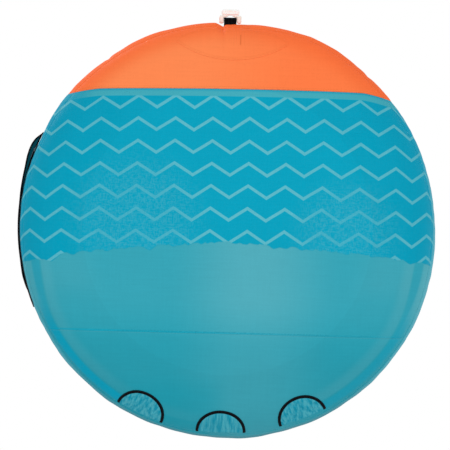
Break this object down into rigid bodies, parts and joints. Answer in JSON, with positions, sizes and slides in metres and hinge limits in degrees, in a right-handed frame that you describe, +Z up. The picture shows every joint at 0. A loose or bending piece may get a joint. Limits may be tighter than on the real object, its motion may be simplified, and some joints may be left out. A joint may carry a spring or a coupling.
{
  "type": "towable deck tube",
  "caption": "Round inflatable deck tube towed behind a boat, with a fabric cover over an air bladder, a tow connector at the nose, drain vents at the rear and riders' handles on the deck.",
  "frame": {"origin": "middle of the underside's flat floor, on the tube's upright axis", "axes": "+Z up towards the deck, -Y towards the nose and its tow connector, -X towards the zip"},
  "size_m": [1.7448, 1.7836, 0.4686],
  "materials": {
    "orange_nylon": "satin",
    "teal_nylon": "satin",
    "printed_nylon": "satin",
    "liner_nylon": "matte",
    "black_tape": "matte",
    "clear_plastic": "satin",
    "grey_vinyl": "satin",
    "black_plastic": "satin",
    "zip_metal": "satin",
    "white_rubber": "satin",
    "grip_sleeve": "matte",
    "guard_foam": "matte"
  },
  "bodies": {
    "tube": {"inner_bladder": "grey_vinyl", "ring_baffle": "grey_vinyl", "floor_baffle_1": "grey_vinyl", "floor_baffle_2": "grey_vinyl", "floor_baffle_3": "grey_vinyl", "floor_baffle_4": "grey_vinyl", "bottom_nose_panel": "orange_nylon", "bottom_print_panel": "printed_nylon", "bottom_rear_panel": "teal_nylon", "side_nose_band": "orange_nylon", "side_rear_band": "teal_nylon", "deck_nose_panel": "orange_nylon", "deck_main_panel": "printed_nylon", "deck_rear_panel": "teal_nylon", "tow_reinforcement_patch": "orange_nylon", "tow_webbing_loop": "black_tape", "vent_binding_left": "black_tape", "vent_binding_centre": "black_tape", "vent_binding_right": "black_tape", "vent_liner_left": "liner_nylon", "vent_liner_centre": "liner_nylon", "vent_liner_right": "liner_nylon", "zipper_tape_lower": "black_tape", "zipper_tape_upper": "black_tape", "zipper_coil": "black_plastic", "zipper_stop_rear": "zip_metal", "zipper_stop_nose": "zip_metal", "zipper_flap": "teal_nylon", "zipper_flap_binding": "black_tape", "valve_port_binding": "black_tape", "valve_boot": "grey_vinyl", "valve_body": "black_plastic", "valve_leash": "black_plastic", "handle_patch_left": "teal_nylon", "handle_patch_centre": "teal_nylon", "handle_patch_right": "teal_nylon", "knuckle_guard_1": "guard_foam", "knuckle_guard_2": "guard_foam", "knuckle_guard_3": "guard_foam", "knuckle_guard_4": "guard_foam", "knuckle_guard_5": "guard_foam", "knuckle_guard_6": "guard_foam"},
    "tow_connector": {"tow_connector": "clear_plastic"},
    "zipper_slider": {"zipper_slider": "zip_metal"},
    "zipper_pull": {"zipper_pull": "zip_metal"},
    "valve_cap": {"valve_cap": "black_plastic"},
    "valve_membrane": {"valve_membrane": "white_rubber"},
    "handle_1": {"handle_webbing_1": "black_tape", "handle_grip_1": "grip_sleeve"},
    "handle_2": {"handle_webbing_2": "black_tape", "handle_grip_2": "grip_sleeve"},
    "handle_3": {"handle_webbing_3": "black_tape", "handle_grip_3": "grip_sleeve"},
    "handle_4": {"handle_webbing_4": "black_tape", "handle_grip_4": "grip_sleeve"},
    "handle_5": {"handle_webbing_5": "black_tape", "handle_grip_5": "grip_sleeve"},
    "handle_6": {"handle_webbing_6": "black_tape", "handle_grip_6": "grip_sleeve"}
  },
  "joints": [
    {"name": "tow_connector_swing", "type": "hinge", "parent": "tube", "child": "tow_connector", "pos_m": [0, -0.8731, 0.19], "axis": [1, 0, 0], "range_deg": [-70, 70]},
    {"name": "zipper_travel", "type": "hinge", "parent": "tube", "child": "zipper_slider", "pos_m": [0, 0, 0.168], "axis": [0, 0, -1], "range_deg": [0, 42.44]},
    {"name": "zipper_pull_swing", "type": "hinge", "parent": "zipper_slider", "child": "zipper_pull", "pos_m": [-0.81068, -0.31481, 0.168], "axis": [0, 0, 1], "range_deg": [0, 180]},
    {"name": "valve_cap_turn", "type": "hinge", "parent": "tube", "child": "valve_cap", "pos_m": [0, 0.351, 0.3827], "axis": [0, 0, 1], "range_deg": [0, 540]},
    {"name": "valve_membrane_lift", "type": "slide", "parent": "tube", "child": "valve_membrane", "axis": [0, 0, -1], "range_m": [0, 0.003], "stiffness_N_per_m": 30, "springref_m": -0.002},
    {"name": "handle_1_swing", "type": "hinge", "parent": "tube", "child": "handle_1", "pos_m": [-0.4114, -0.23743, 0.3926], "axis": [0.4999, -0.8661, 0], "range_deg": [-65, 65]},
    {"name": "handle_2_swing", "type": "hinge", "parent": "tube", "child": "handle_2", "pos_m": [-0.27924, -0.38425, 0.3926], "axis": [0.809, -0.5879, 0], "range_deg": [-65, 65]},
    {"name": "handle_3_swing", "type": "hinge", "parent": "tube", "child": "handle_3", "pos_m": [-0.09877, -0.46462, 0.3926], "axis": [0.9781, -0.2079, 0], "range_deg": [-65, 65]},
    {"name": "handle_4_swing", "type": "hinge", "parent": "tube", "child": "handle_4", "pos_m": [0.09877, -0.46462, 0.3926], "axis": [0.9781, 0.2079, 0], "range_deg": [-65, 65]},
    {"name": "handle_5_swing", "type": "hinge", "parent": "tube", "child": "handle_5", "pos_m": [0.27924, -0.38425, 0.3926], "axis": [0.809, 0.5879, 0], "range_deg": [-65, 65]},
    {"name": "handle_6_swing", "type": "hinge", "parent": "tube", "child": "handle_6", "pos_m": [0.4114, -0.23743, 0.3926], "axis": [0.4999, 0.8661, 0], "range_deg": [-65, 65]}
  ]
}
